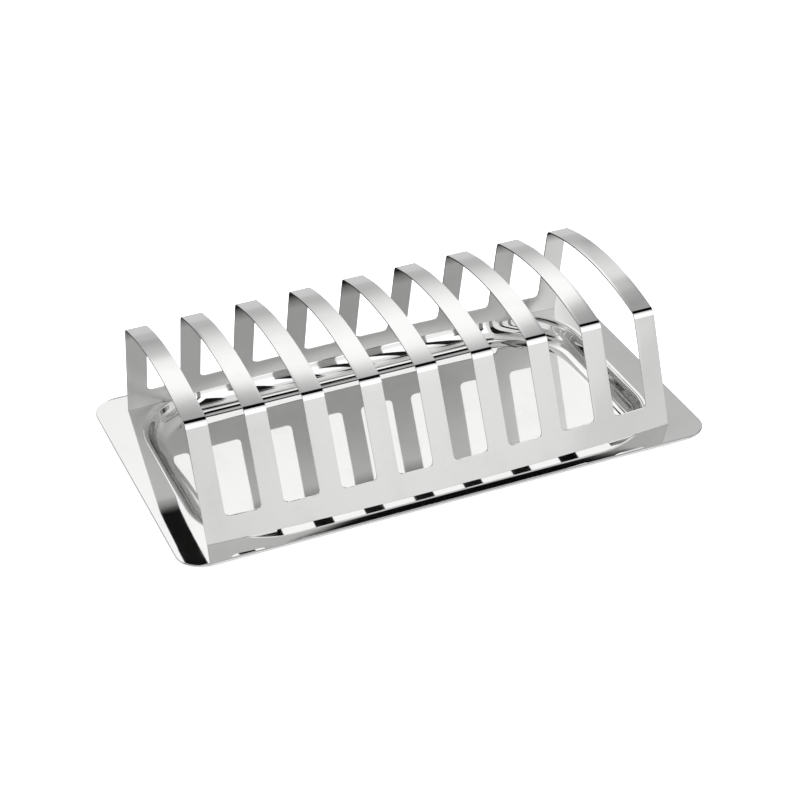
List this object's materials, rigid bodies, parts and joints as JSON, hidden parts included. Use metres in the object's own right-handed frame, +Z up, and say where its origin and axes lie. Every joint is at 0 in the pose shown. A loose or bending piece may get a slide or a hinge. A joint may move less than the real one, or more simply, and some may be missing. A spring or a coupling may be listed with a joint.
{
  "type": "toast rack",
  "caption": "Toast rack: a folded steel rack of flat arched hoops with open slots for toast, lifting off a shallow pressed tray that catches the crumbs.",
  "frame": {"origin": "middle of the flat underside of the tray's well, on the surface the rack stands on", "axes": "+X along the rack, across the slots; +Y from the front rail to the back rail, along a slice of toast; +Z up"},
  "size_m": [0.228, 0.138, 0.0624],
  "materials": {
    "rack_steel": "mirror-polished stainless steel sheet",
    "tray_steel": "mirror-polished stainless steel sheet"
  },
  "bodies": {
    "tray": {"tray": "tray_steel"},
    "rack": {"front_rail": "rack_steel", "back_rail": "rack_steel", "hoop_1": "rack_steel", "hoop_2": "rack_steel", "hoop_3": "rack_steel", "hoop_4": "rack_steel", "hoop_5": "rack_steel", "hoop_6": "rack_steel", "hoop_7": "rack_steel", "hoop_8": "rack_steel", "hoop_9": "rack_steel"}
  },
  "joints": [
    {"name": "rack_lift", "type": "slide", "parent": "tray", "child": "rack", "axis": [0, 0, 1], "range_m": [0, 0.09]}
  ]
}
